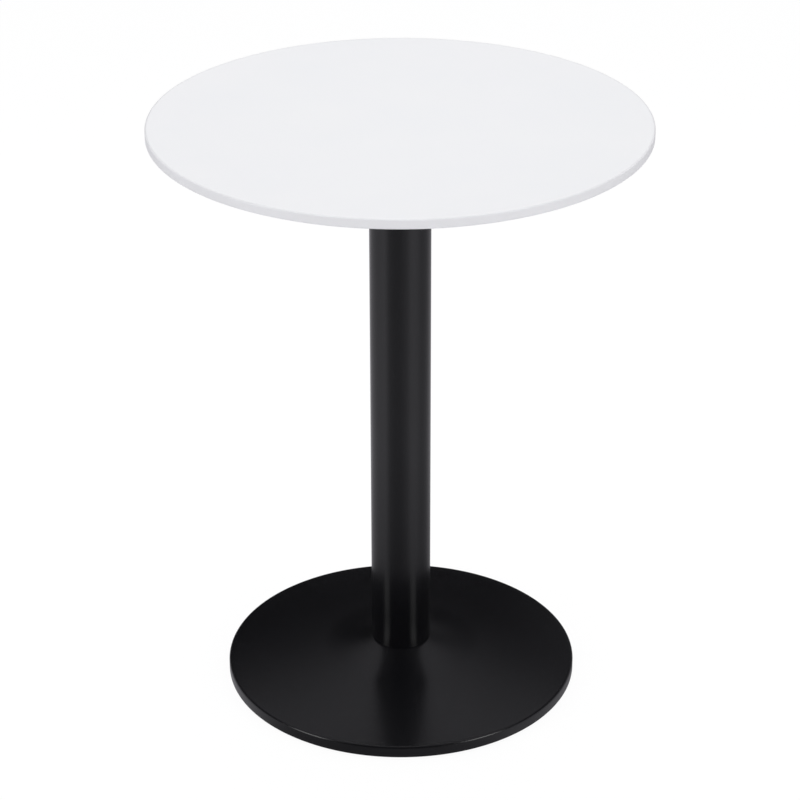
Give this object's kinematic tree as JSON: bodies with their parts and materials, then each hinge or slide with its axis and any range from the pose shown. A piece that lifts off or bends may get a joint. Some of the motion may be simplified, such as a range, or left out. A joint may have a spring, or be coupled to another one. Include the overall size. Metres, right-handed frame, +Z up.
{
  "type": "round pedestal table",
  "caption": "Round café table: a thin white laminated top on a straight black steel column and a shallow domed disc base with levelling feet.",
  "frame": {"origin": "centre of the base on the floor, on the column's axis", "axes": "+Z up along the column's axis; X and Y are level, and each foot lies on a diagonal between them"},
  "size_m": [0.5999, 0.6, 0.75],
  "materials": {
    "white_laminate": "satin",
    "white_edging": "satin",
    "backer_laminate": "matt",
    "mdf_board": "sanded",
    "black_powder_coat": "satin powder coat",
    "zinc_plated_steel": "bright zinc",
    "painted_iron": "matt paint on a sand-cast skin",
    "black_nylon": "moulded, matt"
  },
  "bodies": {
    "root": {"top_face_sheet": "white_laminate", "top_core": "mdf_board", "underside_sheet": "backer_laminate", "edge_band": "white_edging", "insert_nuts": "zinc_plated_steel", "mounting_plate": "black_powder_coat", "plate_screws": "zinc_plated_steel", "plate_washers": "zinc_plated_steel", "plate_collar": "black_powder_coat", "rod_weld_nut": "black_powder_coat", "column_tube": "black_powder_coat", "tie_rod": "zinc_plated_steel", "column_foot_locator": "zinc_plated_steel", "base_cover": "black_powder_coat", "base_weight": "painted_iron", "rod_washer": "zinc_plated_steel", "rod_spring_washer": "zinc_plated_steel", "rod_nut": "zinc_plated_steel"},
    "foot_1": {"foot_pad_1": "black_nylon"},
    "stud_1": {"foot_stud_1": "zinc_plated_steel"},
    "foot_2": {"foot_pad_2": "black_nylon"},
    "stud_2": {"foot_stud_2": "zinc_plated_steel"},
    "foot_3": {"foot_pad_3": "black_nylon"},
    "stud_3": {"foot_stud_3": "zinc_plated_steel"},
    "foot_4": {"foot_pad_4": "black_nylon"},
    "stud_4": {"foot_stud_4": "zinc_plated_steel"}
  },
  "joints": [
    {"name": "foot_1_lift", "type": "slide", "parent": "root", "child": "foot_1", "axis": [0, 0, -1], "range_m": [0, 0.005]},
    {"name": "foot_1_turn", "type": "hinge", "parent": "foot_1", "child": "stud_1", "pos_m": [0.11667, 0.11667, 0.01], "axis": [0, 0, -1], "range_deg": [0, 1440]},
    {"name": "foot_2_lift", "type": "slide", "parent": "root", "child": "foot_2", "axis": [0, 0, -1], "range_m": [0, 0.005]},
    {"name": "foot_2_turn", "type": "hinge", "parent": "foot_2", "child": "stud_2", "pos_m": [-0.11667, 0.11667, 0.01], "axis": [0, 0, -1], "range_deg": [0, 1440]},
    {"name": "foot_3_lift", "type": "slide", "parent": "root", "child": "foot_3", "axis": [0, 0, -1], "range_m": [0, 0.005]},
    {"name": "foot_3_turn", "type": "hinge", "parent": "foot_3", "child": "stud_3", "pos_m": [-0.11667, -0.11667, 0.01], "axis": [0, 0, -1], "range_deg": [0, 1440]},
    {"name": "foot_4_lift", "type": "slide", "parent": "root", "child": "foot_4", "axis": [0, 0, -1], "range_m": [0, 0.005]},
    {"name": "foot_4_turn", "type": "hinge", "parent": "foot_4", "child": "stud_4", "pos_m": [0.11667, -0.11667, 0.01], "axis": [0, 0, -1], "range_deg": [0, 1440]}
  ],
  "couplings": [
    {"joint": "foot_1_turn", "follows": "foot_1_lift", "rad_per_m": 5026.5},
    {"joint": "foot_2_turn", "follows": "foot_2_lift", "rad_per_m": 5026.5},
    {"joint": "foot_3_turn", "follows": "foot_3_lift", "rad_per_m": 5026.5},
    {"joint": "foot_4_turn", "follows": "foot_4_lift", "rad_per_m": 5026.5}
  ]
}
